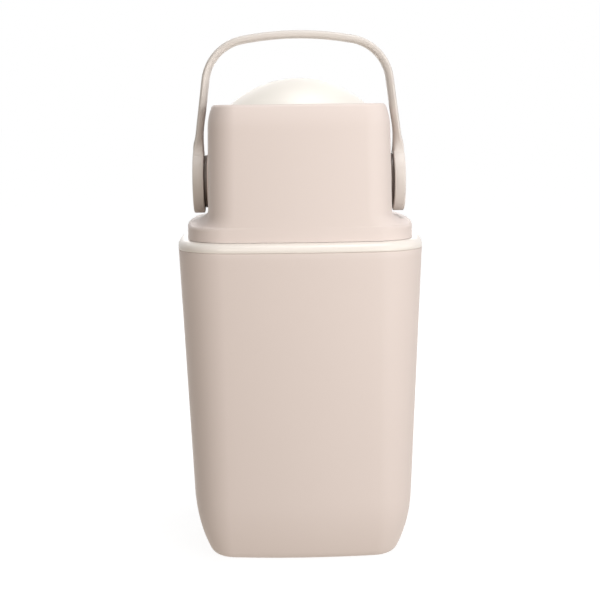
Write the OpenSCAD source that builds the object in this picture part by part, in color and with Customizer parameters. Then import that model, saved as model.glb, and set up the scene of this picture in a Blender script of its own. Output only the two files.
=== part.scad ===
// Nappy bin with a flip-over carrying handle.
//
// A tapered tub takes the bag. A white collar closes its rim and carries a hinged head.
// Inside the head turns a ball-shaped drum with a through bore, keyed to the handle.
// With the handle upright the ball shuts the opening, as drawn. Swung to the front or
// the rear, the handle brings one mouth of the bore to the top, and a weighted piston
// slides down and pushes what was in the bore into the bag.
//
// Origin: middle of the footprint on the floor. +Z is up, the front faces -Y.

/* [Tub] */
// Width of the tub at its rim
tub_w = 287; // [280:1:294]
// Depth of the tub at its rim
tub_d = 287; // [283:1:294]
// Height of the rim above the floor
tub_top = 361.5; // [352:0.5:366]
// Wall of the tub
tub_wall = 3; // [2.4:0.1:4]
// Corner radius in plan, at the rim
tub_corner_r = 60; // [56:1:66]
// How far each side bulges beyond a straight line
tub_bow = 5; // [3:0.5:7]
// How far the wall leans in from the rim to the knee
tub_draft = 13; // [9:0.5:16]
// Height at which the wall starts to curve in to the base
knee_z = 80; // [70:1:90]
// Radius of that curve
knee_r = 165; // [150:1:190]
// Radius between the curve and the underside
base_edge_r = 8; // [6:0.5:10]

/* [Feet] */
// Radius of a rubber foot
foot_r = 11; // [8:0.5:13]
// How far a foot stands out below the tub
foot_stand = 2; // [1.5:0.5:3]
// Depth of the recess that holds a foot
foot_recess = 1.2; // [0.8:0.1:1.4]
// Distance of each foot from the middle, across the width and the depth
foot_reach = 78; // [66:1:84]

/* [Collar and bag ring] */
// Height of the collar above the tub's rim
collar_h = 10.5; // [9:0.5:12]
// Width of the rounded shoulder outside the head
collar_shoulder = 11.5; // [10:0.5:13]
// Height of the upstand that the head fits over
upstand_h = 4; // [3:0.5:5]
// Thickness of the collar's walls
collar_wall = 2.4; // [2:0.1:3]
// Length of the skirt inside the tub
skirt_h = 15; // [10:1:20]
// Height of the ring that holds the bag
bag_ring_h = 20; // [14:1:24]
// Width of the curl along the lower edge of the bag ring
bag_ring_curl = 6; // [4:0.5:8]

/* [Head] */
// Height of the flat top of the head above the floor
head_top = 524.5; // [521:0.5:528]
// Wall of the head
head_wall = 3; // [2.4:0.1:3.6]
// Height of the flange's upright side
flange_h = 12.5; // [10:0.5:15]
// Radius of the flange's upper edge
flange_edge_r = 4; // [3:0.5:5]
// How far the flange stands out beyond the neck, on each side
ledge_w = 22.5; // [20:0.5:24]
// Height over which the flange sweeps up into the head
flare_h = 15; // [12:1:19]
// Corner radius of the head, in plan
neck_corner_r = 34; // [30:1:40]
// How far the front and the back lean in, per unit of height
head_lean = 0.1; // [0.08:0.005:0.105]
// How far the sides lean in from the flare to the top
neck_draft = 3; // [1:0.5:4]
// How far the faces draw in towards the top edge
crown_in = 5.5; // [3:0.5:7]
// Height over which they draw in
crown_h = 27; // [20:1:32]
// Radius of the top edge
crown_edge_r = 3; // [2:0.5:4]

/* [Drum and piston] */
// Height of the axis of the handle and the drum
pivot_z = 434.5; // [432:0.5:437]
// How much less the ball's radius is than half the depth of the tub
ball_inset = 23; // [22.5:0.5:25]
// Wall of the ball
ball_wall = 3; // [2.4:0.1:3.6]
// Distance from the head's side in to the flat side of the ball
drum_inset = 18.5; // [16.5:0.5:20.5]
// Distance from the flat side of the ball in to the bore that holds the nappy
bore_inset = 19; // [17:0.5:23]
// Wall of the sleeve that lines the bore
sleeve_wall = 2; // [1.6:0.1:2.4]
// Length of each mouth ring, along the bore
mouth_ring_l = 5; // [4:0.5:7]
// How far a mouth ring reaches into the bore, to stop the piston
mouth_lip = 4; // [3:0.5:5]
// Thickness of the piston
piston_t = 34; // [28:1:40]
// Radius of the steel weight inside the piston
weight_r = 42; // [36:1:50]
// Thickness of the weight
weight_t = 6; // [4:0.5:8]

/* [Handle] */
// Height of the handle's top above the floor
handle_top = 610.5; // [606:0.5:616]
// Thickness of the handle's bow
handle_t = 10; // [9:0.2:11]
// Depth of the grip, front to back
grip_d = 30; // [26:1:36]
// Depth of each arm where it meets its hub
arm_d = 62; // [50:1:66]
// Lean of the arms, in degrees
arm_lean = 5.5; // [4.5:0.1:6.5]
// Radius of the bow's long top curve
bow_top_r = 340; // [310:5:380]
// Radius of the bow's two corners
bow_corner_r = 62; // [56:1:70]
// Radius of the round hubs
hub_r = 38; // [36:0.5:40]
// Thickness of the hubs
hub_t = 11.5; // [10.5:0.5:13]
// Radius of the cap set into each hub
hub_cap_r = 26; // [22:0.5:30]
// Thickness of that cap
hub_cap_t = 2; // [1.6:0.1:2.4]

/* [Axles and bushes] */
// Radius of the axles
axle_r = 14; // [12:0.5:16]
// Half the distance across the axle's two key flats
axle_flat = 10; // [9:0.5:11]
// Radius of the axle's inner flange
axle_flange_r = 30; // [26:0.5:34]
// Thickness of the axle's inner flange
axle_flange_t = 3; // [2.4:0.1:4]
// Radius of the bush's outer flange
bush_flange_r = 31; // [28:0.5:34]
// Thickness of the bush's outer flange
bush_flange_t = 3.4; // [2.8:0.1:4]
// Height of the round pad on the head that the bush's flange lies on
pad_h = 1; // [0.8:0.1:1.6]
// Wall of the bush
bush_wall = 4; // [3:0.5:5]
// Clearance between an axle and its bush
running_gap = 0.05; // [0.02:0.01:0.08]

/* [Rear hinge] */
// Radius of the knuckles
knuckle_r = 4.5; // [4:0.25:5]
// Radius of the pin
hinge_pin_r = 2; // [1.5:0.25:2.5]
// Width of one knuckle
knuckle_w = 18; // [14:1:22]
// Thickness of the web that carries a knuckle of the head
leaf_t = 2.4; // [2:0.1:3]
// Gap between the collar's upstand and the head's wall, which lets the head swing up
swing_gap = 1.6; // [1.4:0.1:2.2]

/* [Gaps] */
// Gap between pieces that move past each other
moving_gap = 0.4; // [0.3:0.05:0.6]
// Gap between pieces that are put together and stay
seat_gap = 0.2; // [0.1:0.05:0.3]
// Gap between the ball and the openings of the head
ball_gap = 1.5; // [1:0.1:2]

/* [Hidden] */

$fn = 96;
// Points on each of the eight arcs of a plan that is lofted
arc_steps = 8;
// A length that is only there to cut cleanly through
over = 1;

// ---- plans ---------------------------------------------------------------------------
// A plan is a rounded rectangle with bowed sides: half width, half depth, corner radius
// and bow. Its outline is eight arcs, each tangent to the next.

tub_plan = [tub_w / 2, tub_d / 2, tub_corner_r, tub_bow];

function corner_centre(p) = [p[0] - p[2] - p[3], p[1] - p[2] - p[3]];

// Half the angle that a bowed side spans, for the sides across X (i = 0) or Y (i = 1).
function bow_angle(p, i) = 2 * atan(p[3] / corner_centre(p)[1 - i]);

function bow_radius(p, i) = p[2] + corner_centre(p)[1 - i] / sin(bow_angle(p, i));

// The eight arcs as [centre, radius, first angle, angle spanned].
function plan_arcs(p) =
    let (
        c = corner_centre(p),
        ax = bow_angle(p, 0),
        ay = bow_angle(p, 1),
        rx = bow_radius(p, 0),
        ry = bow_radius(p, 1),
        turn = 90 - ax - ay
    )
    [
        [[p[0] - rx, 0], rx, -ax, 2 * ax],
        [[c[0], c[1]], p[2], ax, turn],
        [[0, p[1] - ry], ry, 90 - ay, 2 * ay],
        [[-c[0], c[1]], p[2], 90 + ay, turn],
        [[rx - p[0], 0], rx, 180 - ax, 2 * ax],
        [[-c[0], -c[1]], p[2], 180 + ax, turn],
        [[0, ry - p[1]], ry, 270 - ay, 2 * ay],
        [[c[0], -c[1]], p[2], 270 + ay, turn]
    ];

// Points along a plan, all drawn in by the same inset.
function plan_points(p, inset = 0) = [
    for (arc = plan_arcs(p))
        for (i = [0 : arc_steps - 1])
            let (a = arc[2] + arc[3] * i / arc_steps)
            arc[0] + (arc[1] - inset) * [cos(a), sin(a)]
];

// Skins a row of sections, each [plan, height, inset]. The row goes up the outside and
// comes down the inside. Closed, it is a wall with an open middle. Not closed, the first
// and the last section become the underside and the floor of a cup.
module skin(sections, closed = true) {
    n = 8 * arc_steps;
    m = len(sections);
    points = [
        for (s = sections)
            for (p = plan_points(s[0], s[2]))
                [p[0], p[1], s[1]]
    ];
    sides = [
        for (i = [0 : closed ? m - 1 : m - 2])
            for (j = [0 : n - 1])
                let (
                    a = i * n + j,
                    b = i * n + (j + 1) % n,
                    c = ((i + 1) % m) * n + (j + 1) % n,
                    d = ((i + 1) % m) * n + j
                )
                each [[a, c, b], [a, d, c]]
    ];
    underside = [for (j = [0 : n - 1]) j];
    floor_face = [for (j = [n - 1 : -1 : 0]) (m - 1) * n + j];
    polyhedron(points, closed ? sides : concat([underside], sides, [floor_face]));
}

// Carries one profile, a list of [inset, height], round a plan.
module rim(p, profile) {
    skin([for (q = profile) [p, q[1], q[0]]]);
}

// A flat plate with a plan's outline.
module plan_plate(p, inset, z, h) {
    translate([0, 0, z])
        linear_extrude(h)
            polygon(plan_points(p, inset));
}

// Points on an arc that bulges towards smaller x and y, from one angle to another.
function hollow_arc(centre, r, from, to, steps) = [
    for (i = [0 : steps])
        let (a = from + (to - from) * i / steps)
        centre - r * [cos(a), sin(a)]
];

function reversed(list) = [for (i = [len(list) - 1 : -1 : 0]) list[i]];

// ---- sizes that follow ---------------------------------------------------------------

// Tub section: a leaning wall, a long curve and a small bottom edge, one after the other.
base_z = foot_stand;
wall_angle = atan(tub_draft / (tub_top - knee_z));
knee = [tub_draft, knee_z];
knee_centre = knee + knee_r * [cos(wall_angle), sin(wall_angle)];
edge_angle = asin((knee_centre[1] - base_edge_r - base_z) / (knee_r - base_edge_r));
edge_centre = knee_centre
    - (knee_r - base_edge_r) * [cos(edge_angle), sin(edge_angle)];
tub_inner_inset = tub_wall / cos(wall_angle);

// Collar
collar_top = tub_top + collar_h;
collar_plate_z = collar_top - collar_wall - seat_gap;
skirt_inset = tub_inner_inset + tub_draft * skirt_h / (tub_top - knee_z) + seat_gap;
upstand_inset = collar_shoulder + head_wall + swing_gap;

// Head
head_bottom = collar_top + moving_gap;
flange_w = tub_w - 2 * collar_shoulder;
flange_d = tub_d - 2 * collar_shoulder;
flange_corner_r = tub_corner_r - collar_shoulder;
flange_top = head_bottom + flange_h;
flare_top = flange_top + flange_edge_r + flare_h;
crown_z = head_top - crown_h;
neck_w = flange_w - 2 * ledge_w;
neck_bow = tub_bow - 1;

// Half depth of the head at a height: the front and the back lean in all the way up.
function head_half_d(z) = flange_d / 2 - head_lean * (z - head_bottom);

// Half width of the head above the flare, without its crown.
function neck_half_w(z) =
    (neck_w - neck_draft * max(0, z - flare_top) / (head_top - flare_top)) / 2;

function crown_inset(z) = crown_in * pow(max(0, z - crown_z) / crown_h, 2);

head_side = neck_half_w(pivot_z);
bush_hole_r = axle_r + running_gap + bush_wall + seat_gap;

// Ball, with the radius of its cut at a height
ball_r = tub_d / 2 - ball_inset;
drum_w = neck_w - 2 * drum_inset;
drum_side = drum_w / 2;
bore_r = drum_side - bore_inset;

function ball_cut_r(z, gap = 0) = sqrt(pow(ball_r + gap, 2) - pow(z - pivot_z, 2));

ball_at_top_r = ball_cut_r(head_top);

// Head floor and seals
flange_plan = [flange_w / 2, flange_d / 2, flange_corner_r, tub_bow];
gasket_t = 0.8;
floor_z = collar_top + upstand_h + gasket_t + moving_gap;
floor_t = 3;
seal_t = 4;
seal_w = 11;
chute_h = 26;
chute_r = ball_cut_r(floor_z, ball_gap) + floor_t + seat_gap;
chute_half_w = drum_side + ball_gap + floor_t + seat_gap;
floor_screw_r = 2;
boss_r = floor_screw_r + 2.4;
boss_h = 8;

// The floor's screws stand under the ledges: in their middle and near the two corners.
screw_from_side = 14;
corner_screw_shift = 9;
corner_screw_from_front = 32;
floor_screw_at = [
    for (x = [-1, 1], y = [-1, 0, 1])
        [
            x * (flange_w / 2 - screw_from_side - corner_screw_shift * abs(y)),
            y * (flange_d / 2 - corner_screw_from_front)
        ]
];

// Drum and piston
mouth_outer_r = bore_r + sleeve_wall + seat_gap;
mouth_y = sqrt(pow(ball_r, 2) - pow(mouth_outer_r, 2));
stop_y = mouth_y - mouth_ring_l;
piston_y = -stop_y + moving_gap + piston_t / 2;

// Axles, bushes and hubs
pad_out = head_side + pad_h;
hub_in = pad_out + bush_flange_t + moving_gap;
hub_out = hub_in + hub_t;
cap_in = hub_out - hub_cap_t;
hub_screw_r = 2.5;
hub_screw_l = 11;
hub_screw_head_r = 5;
hub_screw_head_h = 2.6;
screw_seat_h = 3;
axle_end = cap_in - screw_seat_h - 1;
axle_in = drum_side;
bush_space = 6;
bush_in = drum_side + axle_flange_t + bush_space;

// Hinge
hinge_y = tub_d / 2 - knuckle_r;
hinge_z = collar_top + knuckle_r + moving_gap;
knuckle_pitch = knuckle_w + moving_gap;

// ---- tub -----------------------------------------------------------------------------

// The tub's profile, as [inset, height], from the rim down the outside and the inside.
tub_outside = concat(
    [[0.6, tub_top], [0, tub_top - 0.6]],
    hollow_arc(knee_centre, knee_r, wall_angle, edge_angle, 6),
    hollow_arc(edge_centre, base_edge_r, edge_angle, 90, 3)
);

tub_inside = concat(
    [[tub_inner_inset, tub_top]],
    hollow_arc(knee_centre, knee_r - tub_wall, wall_angle, edge_angle, 4),
    hollow_arc(edge_centre, base_edge_r - tub_wall, edge_angle, 90, 2)
);

module tub() {
    color("#dccbc1")
        difference() {
            skin(
                [for (q = concat(reversed(tub_outside), tub_inside)) [tub_plan, q[1], q[0]]],
                closed = false
            );
            at_feet()
                translate([0, 0, -over])
                    cylinder(r = foot_r + seat_gap, h = base_z + foot_recess + over);
        }
}

module at_feet() {
    for (x = [-1, 1], y = [-1, 1])
        translate([x * foot_reach, y * foot_reach, 0])
            children();
}

module feet() {
    color("#6d6660")
        at_feet()
            rotate_extrude()
                polygon([
                    [0, 0],
                    [foot_r - 1, 0],
                    [foot_r, 1],
                    [foot_r, base_z + foot_recess],
                    [0, base_z + foot_recess]
                ]);
}

// ---- collar and bag ring -------------------------------------------------------------

// The rounded shoulder, from the outer edge to the flat that the head stands on.
shoulder_curve = [
    for (i = [0 : 5])
        let (a = 90 * i / 5, rise = collar_h - 2)
        [collar_shoulder * (1 - cos(a)), tub_top + 2 + rise * sin(a)]
];

module collar_wall_shape() {
    rim(tub_plan, concat(
        [[skirt_inset, tub_top], [0.8, tub_top], [0, tub_top + 0.8]],
        shoulder_curve,
        [
            [upstand_inset, collar_top],
            [upstand_inset, collar_top + upstand_h],
            [upstand_inset + collar_wall, collar_top + upstand_h],
            [upstand_inset + collar_wall, collar_plate_z],
            [skirt_inset + collar_wall, collar_plate_z],
            [skirt_inset + collar_wall, tub_top - skirt_h],
            [skirt_inset, tub_top - skirt_h]
        ]
    ));
}

module collar() {
    color("#f7f1ec")
        difference() {
            union() {
                collar_wall_shape();
                collar_knuckles();
            }
            hinge_pin_shape(hinge_pin_r, over);
        }
}

module bag_ring() {
    wall = collar_wall;
    inset = skirt_inset + collar_wall + moving_gap;
    low = collar_plate_z - bag_ring_h;
    color("#b9b2ab")
        rim(tub_plan, [
            [inset, collar_plate_z],
            [inset + wall, collar_plate_z],
            [inset + wall, low + wall],
            [inset + wall + bag_ring_curl, low + wall],
            [inset + wall + bag_ring_curl, low],
            [inset, low]
        ]);
}

// ---- rear hinge ----------------------------------------------------------------------
// Five knuckles on one pin: three are moulded on the collar, two on the head.

module at_knuckle(i) {
    translate([i * knuckle_pitch - knuckle_w / 2, hinge_y, hinge_z])
        rotate([0, 90, 0])
            children();
}

module hinge_pin_shape(r, longer = 0) {
    translate([-2.5 * knuckle_pitch - longer, hinge_y, hinge_z])
        rotate([0, 90, 0])
            cylinder(r = r, h = 5 * knuckle_pitch + 2 * longer);
}

module collar_knuckles() {
    for (i = [-2, 0, 2]) {
        at_knuckle(i)
            cylinder(r = knuckle_r, h = knuckle_w);
        translate([i * knuckle_pitch - knuckle_w / 2, hinge_y - knuckle_r / 2, tub_top + 2])
            cube([knuckle_w, knuckle_r, hinge_z - tub_top - 2]);
    }
}

module head_knuckles() {
    wall_y = head_half_d(hinge_z) - head_wall / 2;
    for (i = [-1, 1]) {
        at_knuckle(i)
            cylinder(r = knuckle_r, h = knuckle_w);
        translate([i * knuckle_pitch - knuckle_w / 2, wall_y, hinge_z + knuckle_r - leaf_t])
            cube([knuckle_w, hinge_y - wall_y, leaf_t]);
    }
}

module hinge_pin() {
    color("#b8bcc0")
        hinge_pin_shape(hinge_pin_r);
}

// ---- head shell ----------------------------------------------------------------------

// A plan of the head: flange_share is 1 in the flange and 0 in the neck.
function head_plan(z, flange_share, inset) =
    let (
        wide = neck_half_w(z) + flange_share * (flange_w / 2 - neck_half_w(z)),
        round = neck_corner_r + flange_share * (flange_corner_r - neck_corner_r),
        bow = neck_bow + flange_share * (tub_bow - neck_bow),
        in = inset + crown_inset(z)
    )
    [wide - in, head_half_d(z) - in, round - in, bow];

// Sections as [height, share of the flange, inset], from the lower rim to the top edge.
flare_sections = [
    for (i = [1 : 7])
        let (u = i / 7)
        [flange_top + flange_edge_r + flare_h * u, 1 - sqrt(1 - pow(1 - u, 2)), 0]
];

flange_edge = [
    for (i = [0 : 3])
        let (a = 90 * i / 3)
        [flange_top + flange_edge_r * sin(a), 1, 0, flange_edge_r * (1 - cos(a))]
];

crown_sections = [
    for (i = [0 : 4])
        [crown_z + (crown_h - crown_edge_r) * i / 4, 0, 0]
];

crown_edge = [
    for (i = [1 : 3])
        let (a = 90 * i / 3)
        [
            head_top - crown_edge_r * (1 - sin(a)),
            0,
            crown_edge_r * (1 - cos(a))
        ]
];

// The flange's upper edge draws in only across the width, so that the front stays flush.
function edge_plan(s, inset) =
    let (p = head_plan(s[0], s[1], inset))
    [p[0] - s[3], p[1], p[2], p[3]];

function head_section(s, inset) = [head_plan(s[0], s[1], s[2] + inset), s[0]];

// The neck starts one edge radius inside the flange, so the share is taken from there.
function flare_section(s, inset) =
    let (
        p = head_plan(s[0], s[1], s[2] + inset),
        edge = flange_edge_r * s[1]
    )
    [[p[0] - edge, p[1], p[2], p[3]], s[0]];

head_outside = concat(
    [[head_plan(head_bottom, 1, 0.6), head_bottom], [head_plan(head_bottom + 0.6, 1, 0), head_bottom + 0.6]],
    [for (s = flange_edge) [edge_plan(s, 0), s[0]]],
    [for (s = flare_sections) flare_section(s, 0)],
    [for (s = concat(crown_sections, crown_edge)) head_section(s, 0)]
);

head_inside = concat(
    [head_section([head_top - head_wall, 0, crown_edge_r], head_wall)],
    [head_section([crown_z, 0, 0], head_wall)],
    [
        for (i = [len(flare_sections) - 1 : -1 : 0])
            let (f = flare_section(flare_sections[i], head_wall))
            [f[0], f[1] - head_wall * flare_sections[i][1]]
    ],
    [[head_plan(flange_top, 1, head_wall), flange_top]],
    [[head_plan(head_bottom, 1, head_wall), head_bottom]]
);

// A plan that is nearly round, a little inside the edge that the ball's clearance cuts.
opening_plan = [ball_at_top_r - 2, ball_at_top_r - 2, ball_at_top_r - 3.1, 0.1];

head_loop = concat(
    head_outside,
    [[opening_plan, head_top], [opening_plan, head_top - head_wall]],
    head_inside
);

// The space that the ball sweeps as it turns, larger by a gap all round.
module ball_space(gap) {
    translate([0, 0, pivot_z])
        intersection() {
            sphere(r = ball_r + gap);
            cube([drum_w + 2 * gap, 3 * ball_r, 3 * ball_r], center = true);
        }
}

// Puts a piece that is drawn along +Z on the pivot axis, pointing out to one side.
module at_side(side, x) {
    translate([side * x, 0, pivot_z])
        rotate([0, side * 90, 0])
            children();
}

module head_shell() {
    color("#dccbc1")
        difference() {
            union() {
                skin([for (f = head_loop) [f[0], f[1], 0]]);
                head_knuckles();
                for (side = [-1, 1])
                    at_side(side, head_side - head_wall)
                        cylinder(r = bush_flange_r + 1, h = head_wall + pad_h);
                for (p = floor_screw_at)
                    translate([p[0], p[1], floor_z + floor_t])
                        cylinder(r = boss_r, h = boss_h);
            }
            ball_space(ball_gap);
            hinge_pin_shape(hinge_pin_r + running_gap, over);
            for (side = [-1, 1])
                at_side(side, head_side - 2 * head_wall)
                    cylinder(r = bush_hole_r, h = 4 * head_wall);
            for (p = floor_screw_at)
                translate([p[0], p[1], floor_z])
                    cylinder(r = floor_screw_r, h = floor_t + boss_h - 2);
        }
}

// ---- head floor, seals and gasket ----------------------------------------------------

// A disc whose two sides are cut flat, as the ball's are.
module flat_disc(z, h, r, half_w) {
    translate([0, 0, z])
        intersection() {
            cylinder(r = r, h = h);
            translate([-half_w, -r, 0])
                cube([2 * half_w, 2 * r, h]);
        }
}

module head_floor() {
    inner_r = chute_r - floor_t;
    inner_half_w = chute_half_w - floor_t;
    color("#f2ece6")
        difference() {
            union() {
                plan_plate(flange_plan, head_wall + seat_gap + 1, floor_z, floor_t);
                flat_disc(floor_z - chute_h, chute_h + floor_t, chute_r, chute_half_w);
            }
            flat_disc(floor_z - chute_h - over, chute_h + over, inner_r, inner_half_w);
            ball_space(ball_gap);
            for (p = floor_screw_at)
                translate([p[0], p[1], floor_z - over])
                    cylinder(r = floor_screw_r + seat_gap, h = floor_t + 2 * over);
        }
}

module head_floor_screws() {
    color("#b8bcc0")
        for (p = floor_screw_at)
            translate([p[0], p[1], floor_z - 1])
                union() {
                    cylinder(r = 1.8 * floor_screw_r, h = 1);
                    cylinder(r = floor_screw_r, h = 1 + floor_t + boss_h - 3);
                }
}

// Each seal's lip follows the ball at a small distance.
module top_seal() {
    high = head_top - head_wall;
    low = high - seal_t;
    outer_r = ball_at_top_r + seal_w;
    color("#e9e3dc")
        rotate_extrude()
            polygon([
                [outer_r, low],
                [outer_r, high],
                [ball_cut_r(high, moving_gap), high],
                [ball_cut_r(low, moving_gap), low]
            ]);
}

module lower_seal() {
    color("#e9e3dc")
        difference() {
            flat_disc(floor_z + floor_t, seal_t, chute_r + 2, chute_half_w + 2);
            ball_space(moving_gap);
        }
}

module rim_gasket() {
    inset = upstand_inset - collar_shoulder;
    low = floor_z - gasket_t;
    color("#8d867f")
        rim(flange_plan, [
            [inset, low],
            [inset, floor_z],
            [inset + collar_wall, floor_z],
            [inset + collar_wall, low]
        ]);
}

// ---- bushes --------------------------------------------------------------------------

module bush(side) {
    bore = axle_r + running_gap;
    color("#cbb9ae")
        difference() {
            union() {
                at_side(side, bush_in)
                    cylinder(r = bore + bush_wall, h = pad_out - bush_in + over);
                at_side(side, pad_out)
                    cylinder(r = bush_flange_r, h = bush_flange_t);
            }
            at_side(side, bush_in - over)
                cylinder(r = bore, h = hub_out - bush_in);
        }
}

module bush_left() {
    bush(-1);
}

module bush_right() {
    bush(1);
}

// ---- drum ----------------------------------------------------------------------------

// The ball with its two flat sides, drawn in by an inset.
module ball_blank(inset) {
    intersection() {
        sphere(r = ball_r - inset);
        cube([drum_w - 2 * inset, 2 * ball_r, 2 * ball_r], center = true);
    }
}

module bore_cut(r) {
    rotate([90, 0, 0])
        cylinder(r = r, h = 2 * ball_r, center = true);
}

drum_screw_x = drum_side - ball_wall - 4;
drum_screw_y = 48;
drum_post_h = 38;
drum_screw_r = 1.6;

module drum_half(up) {
    translate([0, 0, pivot_z])
        difference() {
            union() {
                difference() {
                    ball_blank(0);
                    ball_blank(ball_wall);
                }
                intersection() {
                    ball_blank(ball_wall / 2);
                    for (x = [-1, 1], y = [-1, 1])
                        translate([x * drum_screw_x, y * drum_screw_y, 0])
                            cylinder(r = 5, h = 2 * drum_post_h, center = true);
                }
            }
            bore_cut(mouth_outer_r);
            translate([-ball_r, -ball_r, up ? -2 * ball_r : 0])
                cube(2 * ball_r);
            for (x = [-1, 1], y = [-1, 1])
                translate([x * drum_screw_x, y * drum_screw_y, 0]) {
                    translate([0, 0, -drum_post_h - over])
                        cylinder(r = drum_screw_r, h = drum_post_h + 12 + over);
                    translate([0, 0, -ball_r])
                        cylinder(r = 3 * drum_screw_r, h = ball_r - drum_post_h);
                }
            for (side = [-1, 1])
                rotate([0, side * 90, 0])
                    translate([0, 0, drum_side - 2 * ball_wall])
                        cylinder(r = axle_r, h = 3 * ball_wall);
        }
}

module drum_upper() {
    color("#f8f5f0")
        drum_half(true);
}

module drum_lower() {
    color("#f8f5f0")
        drum_half(false);
}

module drum_screws() {
    color("#b8bcc0")
        translate([0, 0, pivot_z])
            for (x = [-1, 1], y = [-1, 1])
                translate([x * drum_screw_x, y * drum_screw_y, -drum_post_h - 2])
                    union() {
                        cylinder(r = 2 * drum_screw_r, h = 2);
                        cylinder(r = drum_screw_r, h = drum_post_h + 12);
                    }
}

module sleeve() {
    color("#ece6df")
        translate([0, 0, pivot_z])
            rotate([90, 0, 0])
                difference() {
                    cylinder(r = bore_r + sleeve_wall, h = 2 * stop_y, center = true);
                    cylinder(r = bore_r, h = 2 * stop_y + 2 * over, center = true);
                }
}

// The ring that finishes one mouth of the bore, rounded off with the ball.
module mouth_ring(side) {
    color("#f8f5f0")
        translate([0, 0, pivot_z])
            difference() {
                intersection() {
                    sphere(r = ball_r);
                    rotate([-90 * side, 0, 0])
                        translate([0, 0, stop_y])
                            cylinder(r = mouth_outer_r, h = mouth_ring_l + over);
                }
                bore_cut(bore_r - mouth_lip);
            }
}

module mouth_ring_front() {
    mouth_ring(-1);
}

module mouth_ring_rear() {
    mouth_ring(1);
}

// ---- axles ---------------------------------------------------------------------------

// The keyed end of an axle: a round bar with two flats.
module keyed_bar(r, flat, h) {
    intersection() {
        cylinder(r = r, h = h);
        translate([-r, -flat, 0])
            cube([2 * r, 2 * flat, h]);
    }
}

module axle(side) {
    color("#d9d2ca")
        difference() {
            union() {
                at_side(side, axle_in)
                    cylinder(r = axle_flange_r, h = axle_flange_t);
                at_side(side, axle_in - ball_wall)
                    cylinder(r = axle_r - seat_gap / 2, h = ball_wall + axle_flange_t);
                at_side(side, axle_in + axle_flange_t)
                    cylinder(r = axle_r, h = hub_in - axle_in - axle_flange_t);
                at_side(side, hub_in)
                    keyed_bar(axle_r, axle_flat, axle_end - hub_in);
            }
            at_side(side, axle_end - hub_screw_l - 1)
                cylinder(r = hub_screw_r, h = hub_screw_l + 1 + over);
        }
}

module axle_left() {
    axle(-1);
}

module axle_right() {
    axle(1);
}

// ---- handle --------------------------------------------------------------------------

// The bow's centre line lies in the XZ plane: an arm, a corner and the long top curve.
arm_foot = [hub_in + hub_t / 2, pivot_z + hub_r / 3];
arm_up = [-sin(arm_lean), cos(arm_lean)];
arm_in = [-cos(arm_lean), -sin(arm_lean)];
top_r = bow_top_r - handle_t / 2;
corner_r = bow_corner_r - handle_t / 2;
top_centre = [0, handle_top - bow_top_r];
to_corner = arm_foot + corner_r * arm_in - top_centre;
arm_l = -to_corner * arm_up
    + sqrt(pow(to_corner * arm_up, 2) - to_corner * to_corner + pow(top_r - corner_r, 2));
bow_corner = top_centre + to_corner + arm_l * arm_up;
top_angle = atan2(bow_corner[0], bow_corner[1] - top_centre[1]);
corner_end = 90 - top_angle;

// Stations along one half: [point, direction outwards, share of the way up].
arm_stations = 5;
corner_stations = 8;
top_stations = 6;
half_bow = concat(
    [
        for (i = [0 : arm_stations - 1])
            let (u = i / arm_stations)
            [arm_foot + arm_l * u * arm_up, arm_lean, 0.75 * u]
    ],
    [
        for (i = [0 : corner_stations - 1])
            let (u = i / corner_stations, a = arm_lean + (corner_end - arm_lean) * u)
            [bow_corner + corner_r * [cos(a), sin(a)], a, 0.75 + 0.2 * u]
    ],
    [
        for (i = [0 : top_stations])
            let (u = i / top_stations, a = corner_end + top_angle * u)
            [top_centre + top_r * [cos(a), sin(a)], a, 0.95 + 0.05 * u]
    ]
);

function mirrored(s) = [[-s[0][0], s[0][1]], 180 - s[1], s[2]];

bow_stations = concat(
    half_bow,
    [for (i = [len(half_bow) - 2 : -1 : 0]) mirrored(half_bow[i])]
);

// Depth of the bow at a share of the way up: wide at the hub, slim at the grip.
function bow_depth(u) = grip_d + (arm_d - grip_d) * pow(1 - u, 1.4);

// One cross-section of the bow: a soft rectangle, thick outwards and deep along Y.
section_points = 20;
function soft(v) = sign(v) * pow(abs(v), 0.5);
function bow_section(s) = [
    for (i = [0 : section_points - 1])
        let (
            a = 360 * (i + 0.5) / section_points,
            out = handle_t / 2 * soft(cos(a)),
            deep = bow_depth(s[2]) / 2 * soft(sin(a))
        )
        [s[0][0] + out * cos(s[1]), deep, s[0][1] + out * sin(s[1])]
];

module bow() {
    n = section_points;
    m = len(bow_stations);
    points = [for (s = bow_stations) each bow_section(s)];
    sides = [
        for (i = [0 : m - 2])
            for (j = [0 : n - 1])
                let (a = i * n + j, b = i * n + (j + 1) % n)
                each [[a, b + n, b], [a, a + n, b + n]]
    ];
    first = [for (j = [0 : n - 1]) j];
    last = [for (j = [n - 1 : -1 : 0]) (m - 1) * n + j];
    polyhedron(points, concat([first], sides, [last]));
}

module hub_blank() {
    edge = 3;
    rotate_extrude()
        polygon(concat(
            [[0, 0], [hub_r - 0.6, 0], [hub_r, 0.6]],
            [
                for (i = [0 : 5])
                    let (a = 90 * i / 5)
                    [hub_r - edge + edge * cos(a), hub_t - edge + edge * sin(a)]
            ],
            [[0, hub_t]]
        ));
}

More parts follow.
